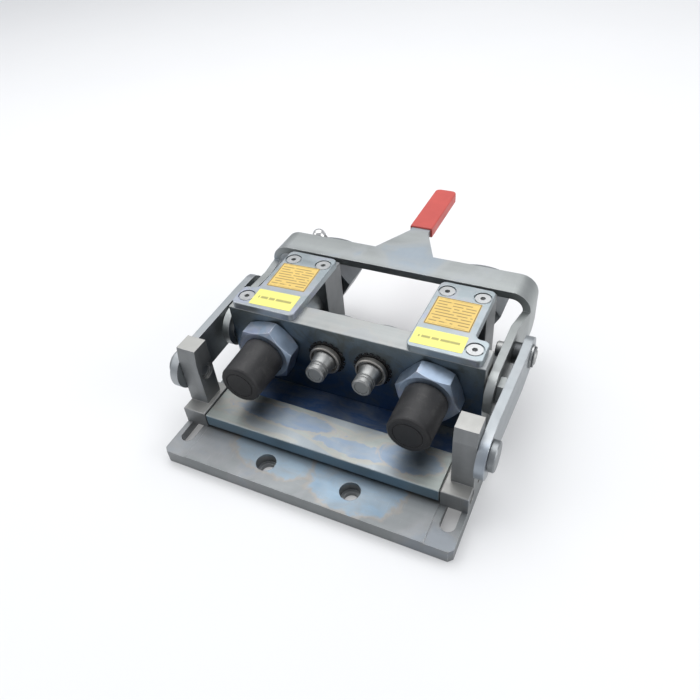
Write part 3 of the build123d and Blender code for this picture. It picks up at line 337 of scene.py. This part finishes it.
# the nuts' pale rubbed edges are also painted highlights along the hexagon's rims
nut_finish = steel(
    "nut_blue_zinc", (0.34, 0.42, 0.53), 0.42, lines=(380, 380, 380), line_height=0.10,
    bloom=((0.37, 0.39, 0.54), (0.46, 0.45, 0.43), 30, 0.56, 0.06, 0.45), wear_and_glint=0.85, radius=0.9)
adapter_finish = steel(
    "adapter_grey_zinc", (0.22, 0.235, 0.245), 0.40, lines=(380, 380, 380), line_height=0.1,
    bloom=((0.19, 0.22, 0.26), (0.27, 0.26, 0.24), 26, 0.56, 0.10, 0.4), wear_and_glint=0.5)
pin_finish = steel("pin_grey_zinc", (0.27, 0.285, 0.295), 0.46, lines=(300, 300, 300),
                   line_height=0.1, wear_and_glint=0.4, radius=0.3, scratch=0.1)
bright_finish = steel("turned_satin", (0.37, 0.375, 0.37), 0.44, lines=(60, 1800, 60),
                      line_height=0.30, wear_and_glint=0.35, scratch=0.1, radius=0.25)
collar_finish = steel("collar_warm", (0.42, 0.40, 0.37), 0.42, lines=(60, 1800, 60),
                      line_height=0.12, wear_and_glint=0.4, scratch=0.1, radius=0.25)
ring_finish = steel("tooth_ring_black", (0.045, 0.045, 0.047), 0.42, line_height=0.05,
                    lines=(300, 300, 300), wear_and_glint=0.8, wear_and_glint_tone=(0.4, 0.4, 0.4), radius=0.2)
lever_finish = steel(
    "lever_blue_grey", (0.385, 0.405, 0.40), 0.43, lines=(12, 260, 260), line_height=0.12,
    bloom=((0.31, 0.38, 0.46), (0.43, 0.42, 0.39), 11, 0.55, 0.07, 0.5), wear_and_glint=0.5)
link_finish = steel(
    "link_blue_grey", (0.36, 0.385, 0.40), 0.42, lines=(200, 10, 200), line_height=0.12,
    bloom=((0.30, 0.35, 0.42), (0.40, 0.39, 0.37), 12, 0.56, 0.10, 0.45), wear_and_glint=0.4)
dark_finish = steel("dark_steel", (0.10, 0.105, 0.11), 0.40, line_height=0.1)
chrome_finish = steel("cap_bright", (0.74, 0.74, 0.73), 0.22, lines=(300, 300, 300),
                      line_height=0.03, wear_and_glint=0.2, radius=0.2, scratch=0.05)
wire_finish = steel("spring_wire", (0.35, 0.35, 0.36), 0.32, line_height=0.05, radius=0.1)
screw_finish = steel("screw_zinc", (0.48, 0.49, 0.49), 0.36, lines=(300, 300, 300),
                     line_height=0.08, radius=0.2, scratch=0.1)


def build_rubber():
    """Moulded black rubber: fine pores, dust, paler rubbed rims and painted shade on the front
    face.
    """
    made, tree, shader, coords = new_material("cap_black_rubber")
    wear_out = use(tree, EDGE_WEAR, {"Vector": coords, "Radius": 0.0009, "Breakup": 140.0})
    marks = use(tree, HANDLING, {"Vector": coords, "Size": 1.4})
    colour = blend_colour(tree, marks["Smudge"], rgb(0.010, 0.010, 0.011), rgb(0.026, 0.026, 0.027))
    dust = ramp(tree, noise(tree, coords, 130.0, 8.0, 0.7, 0.6), 0.52, 0.72)
    colour = blend_colour(tree, math_node(tree, "MULTIPLY", dust, 0.45), colour,
                          rgb(0.055, 0.054, 0.052))
    colour = blend_colour(tree, math_node(tree, "MULTIPLY", marks["Specks"], 0.6), colour,
                          rgb(0.11, 0.11, 0.11))
    colour = blend_colour(tree, math_node(tree, "MULTIPLY", wear_out["Mask"], 0.55), colour,
                          rgb(0.13, 0.13, 0.13))
    # painted shade: faces turned to the front are darkened
    shaded_facing = add_node(tree, "ShaderNodeVectorMath", {
        0: add_node(tree, "ShaderNodeNewGeometry").outputs["True Normal"], 1: (0, -1, 0)},
        operation="DOT_PRODUCT").outputs["Value"]
    colour = blend_colour(tree, ramp(tree, shaded_facing, 0.7, 0.95, 0.0, 0.65), colour,
                          rgb(0.006, 0.006, 0.007))
    tree.links.new(colour, shader.inputs["Base Color"])
    shader.inputs["Specular IOR Level"].default_value = 0.38
    tree.links.new(ramp(tree, marks["Smudge"], 0, 1, 0.42, 0.58), shader.inputs["Roughness"])
    pores = noise(tree, coords, 900.0, 4.0, 0.6)
    bump = add_node(tree, "ShaderNodeBump", {"Height": pores, "Strength": 0.35, "Distance": 0.0001,
                    "Normal": wear_out["Normal"]})
    tree.links.new(bump.outputs[0], shader.inputs["Normal"])
    return made


def build_grip():
    """Dipped coral-red plastic: slight orange-peel, paler rubbed edges, handling marks."""
    made, tree, shader, coords = new_material("grip_coral_dip")
    wear_out = use(tree, EDGE_WEAR, {"Vector": coords, "Radius": 0.0015, "Breakup": 60.0})
    marks = use(tree, HANDLING, {"Vector": coords})
    colour = blend_colour(tree, marks["Smudge"], rgb(0.52, 0.070, 0.055), rgb(0.43, 0.055, 0.045))
    colour = blend_colour(tree, math_node(tree, "MULTIPLY", wear_out["Mask"], 0.3), colour,
                          rgb(0.66, 0.19, 0.15))
    tree.links.new(colour, shader.inputs["Base Color"])
    tree.links.new(ramp(tree, marks["Smudge"], 0, 1, 0.40, 0.52), shader.inputs["Roughness"])
    peel = noise(tree, coords, 420.0, 3.0, 0.5)
    bump = add_node(tree, "ShaderNodeBump", {"Height": peel, "Strength": 0.25, "Distance": 0.00012,
                    "Normal": wear_out["Normal"]})
    tree.links.new(bump.outputs[0], shader.inputs["Normal"])
    return made


rubber_finish = build_rubber()
grip_finish = build_grip()

FINISHES = {
    "base_plate": base_finish, "carriage_bar": bar_finish, "foot_block": block_finish,
    "coupling_plate": plate_finish, "rear_block": block_rear_finish, "label_plate": label_finish,
    "label_screws": screw_finish, "lock_nut": nut_finish, "adapter": adapter_finish,
    "nipple_nut": adapter_finish, "tooth_ring": ring_finish, "nipple": bright_finish,
    "face_valve": bright_finish, "collar": collar_finish, "rear_pin": bright_finish,
    "front_pin": pin_finish, "test_point": bright_finish, "test_cap": chrome_finish,
    "barrel": lever_finish, "link": link_finish, "bail": lever_finish, "spacer": dark_finish,
    "rear_washers": screw_finish, "circlips": dark_finish, "pivot_bolts": lever_finish,
    "pivot_washers": screw_finish, "base_screws": dark_finish, "bar_screws": screw_finish,
    "guide_screws": screw_finish, "poppet": bright_finish, "valve_guide": dark_finish,
    "valve_spring": wire_finish, "face_spring": wire_finish, "cap": rubber_finish,
    "grip": grip_finish,
}


def paint(piece, finish):
    piece.data.materials.clear()
    piece.data.materials.append(finish)


for name, piece in nodes.items():
    family = name.removesuffix("_left").removesuffix("_right")
    paint(piece, FINISHES[family])

# ================================ printed labels ================================================
def build_label(name, ground, ink, rows, cells, thick, border):
    """A plain printed foil: ground colour, thin border and rows of short rules, by its UV map.

    thick is half a rule's height as a share of its row; a border beyond 1 leaves it out.
    """
    made, tree, shader, coords = new_material(name)
    uv = add_node(tree, "ShaderNodeSeparateXYZ", {0: tree.nodes.new("ShaderNodeUVMap").outputs[0]})
    u, v = uv.outputs["X"], uv.outputs["Y"]
    reach = []
    for along in (u, v):
        off_middle = math_node(tree, "ABSOLUTE", math_node(tree, "SUBTRACT", along, 0.5))
        reach.append(math_node(tree, "MULTIPLY", off_middle, 2.0))
    out = math_node(tree, "MAXIMUM", *reach)
    frame_line = math_node(tree, "MULTIPLY", ramp(tree, out, border - 0.01, border),
                           ramp(tree, out, border + 0.045, border + 0.035))
    field = math_node(tree, "MULTIPLY", ramp(tree, reach[0], 0.88, 0.86),
                      ramp(tree, reach[1], 0.90, 0.88))
    row = math_node(tree, "MULTIPLY", v, rows)
    along = math_node(tree, "FRACT", row)
    off = math_node(tree, "ABSOLUTE", math_node(tree, "SUBTRACT", along, 0.5))
    rule = ramp(tree, off, thick + 0.03, thick - 0.03)
    cell = add_node(tree, "ShaderNodeCombineXYZ", {
        "X": math_node(tree, "FLOOR", math_node(tree, "MULTIPLY", u, cells)),
        "Y": math_node(tree, "FLOOR", row)}).outputs[0]
    gap = add_node(tree, "ShaderNodeTexWhiteNoise", {"Vector": cell}).outputs["Value"]
    rule = math_node(tree, "MULTIPLY", rule, ramp(tree, gap, 0.20, 0.24))
    print_mask = math_node(tree, "MULTIPLY", math_node(tree, "MULTIPLY", rule, field), 0.72)
    border_mask = math_node(tree, "MULTIPLY", frame_line, 0.85)
    ink_mask = math_node(tree, "MAXIMUM", print_mask, border_mask)
    marks = use(tree, HANDLING, {"Vector": coords})
    colour = blend_colour(tree, marks["Smudge"], rgb(*ground), rgb(*(c * 0.90 for c in ground)))
    colour = blend_colour(tree, ink_mask, colour, rgb(*ink))
    tree.links.new(colour, shader.inputs["Base Color"])
    tree.links.new(ramp(tree, marks["Smudge"], 0, 1, 0.34, 0.46), shader.inputs["Roughness"])
    bump = add_node(tree, "ShaderNodeBump", {"Height": noise(tree, coords, 500.0), "Strength": 0.05,
                    "Distance": 0.0001})
    tree.links.new(bump.outputs[0], shader.inputs["Normal"])
    return made


orange_foil = build_label("label_orange", ground=(0.72, 0.51, 0.14), ink=(0.13, 0.08, 0.03),
                          rows=10.0, cells=17.0, thick=0.15, border=0.95)
yellow_foil = build_label("label_yellow", ground=(0.80, 0.76, 0.20), ink=(0.20, 0.18, 0.07),
                          rows=1.0, cells=30.0, thick=0.07, border=1.2)


def finished(piece, name, finish, body):
    """Names, paints and hands over a new piece; its place is already in its mesh."""
    piece.name = name
    piece.data.name = name
    paint(piece, finish)
    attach(piece, body)
    return piece


def label(name, centre, size, turn, finish):
    """A thin foil with rounded corners, lying on a label plate, turned by turn degrees."""
    bpy.ops.object.select_all(action="DESELECT")
    bpy.ops.mesh.primitive_plane_add(size=1.0, location=(0, 0, 0))
    piece = bpy.context.object
    bpy.ops.object.mode_set(mode="EDIT")
    bpy.ops.mesh.select_all(action="SELECT")
    bpy.ops.transform.resize(value=(size[0] * MM, size[1] * MM, 1))
    bpy.ops.mesh.bevel(offset=FOIL_CORNER * MM, segments=4, affect="VERTICES")
    bpy.ops.mesh.select_all(action="SELECT")
    bpy.ops.mesh.extrude_region_move(TRANSFORM_OT_translate={"value": (0, 0, FOIL * MM)})
    bpy.ops.mesh.select_all(action="SELECT")
    bpy.ops.mesh.normals_make_consistent(inside=False)
    bpy.ops.object.mode_set(mode="OBJECT")
    uv_map = piece.data.uv_layers[0].data
    for loop in piece.data.loops:
        co = piece.data.vertices[loop.vertex_index].co
        uv_map[loop.index].uv = (co.x / (size[0] * MM) + 0.5, co.y / (size[1] * MM) + 0.5)
    place = (centre[0] * MM, centre[1] * MM, (LABEL_TOP + FOIL_LIFT) * MM)
    piece.data.transform(Matrix.Translation(place) @ Matrix.Rotation(radians(turn), 4, "Z"))
    return finished(piece, name, finish, "frame")


label("label_orange_left", (-89.2, 187.6), (43.5, 42.0), 3.0, orange_foil)
label("label_orange_right", (86.5, 185.0), (45.0, 43.5), 0.3, orange_foil)
label("label_yellow_left", (-88.6, 146.3), (47.0, 25.0), 2.2, yellow_foil)
label("label_yellow_right", (85.9, 144.9), (50.0, 22.8), 1.0, yellow_foil)

# ================================ stage, light and camera =======================================
bpy.ops.object.select_all(action="DESELECT")
bpy.ops.mesh.primitive_plane_add(size=9.0, location=(0, 1.5, 0))
floor = bpy.context.object
floor.name = "floor"
floor_paint, tree, shader, coords = new_material("floor_white")
tree.links.new(blend_colour(tree, noise(tree, coords, 3.0), rgb(0.58, 0.585, 0.59),
                            rgb(0.61, 0.615, 0.62)), shader.inputs["Base Color"])
shader.inputs["Roughness"].default_value = 0.7
shader.inputs["Emission Color"].default_value = rgb(1.0, 1.0, 1.0)
shader.inputs["Emission Strength"].default_value = 0.20
paint(floor, floor_paint)

world = bpy.data.worlds.new("studio")
bpy.context.scene.world = world
world.use_nodes = True
world.node_tree.nodes["Background"].inputs["Color"].default_value = rgb(0.93, 0.95, 1.0)
world.node_tree.nodes["Background"].inputs["Strength"].default_value = 0.62


def soft_light(name, place, target, size, power):
    """A white area light at place (m), aimed at target."""
    data = bpy.data.lights.new(name, "AREA")
    data.shape = "RECTANGLE"
    data.size, data.size_y = size
    data.energy = power
    made = bpy.data.objects.new(name, data)
    bpy.context.scene.collection.objects.link(made)
    made.location = place
    made.rotation_euler = (Vector(target) - Vector(place)).to_track_quat("-Z", "Y").to_euler()


soft_light("overhead", (-0.4, 0.75, 1.9), (0, 0.15, 0), (2.4, 1.8), 36)
soft_light("left_front", (-1.8, -0.7, 1.3), (0, 0.1, 0.05), (1.2, 1.2), 7)
soft_light("right_side", (1.8, 0.2, 0.8), (0, 0.15, 0.05), (1.0, 1.2), 12)

camera_data = bpy.data.cameras.new("camera")
camera_data.sensor_width = 36.0
camera_data.lens = 32.81
camera = bpy.data.objects.new("camera", camera_data)
bpy.context.scene.collection.objects.link(camera)
camera.matrix_world = (Matrix.Translation((0.2251, -0.2745, 0.4989))
                       @ Matrix.Rotation(0.5056, 4, "Z")
                       @ Matrix.Rotation(pi / 2 - 0.7284, 4, "X")
                       @ Matrix.Rotation(-0.1017, 4, "Z"))
bpy.context.scene.camera = camera
bpy.context.scene.view_settings.view_transform = "Standard"
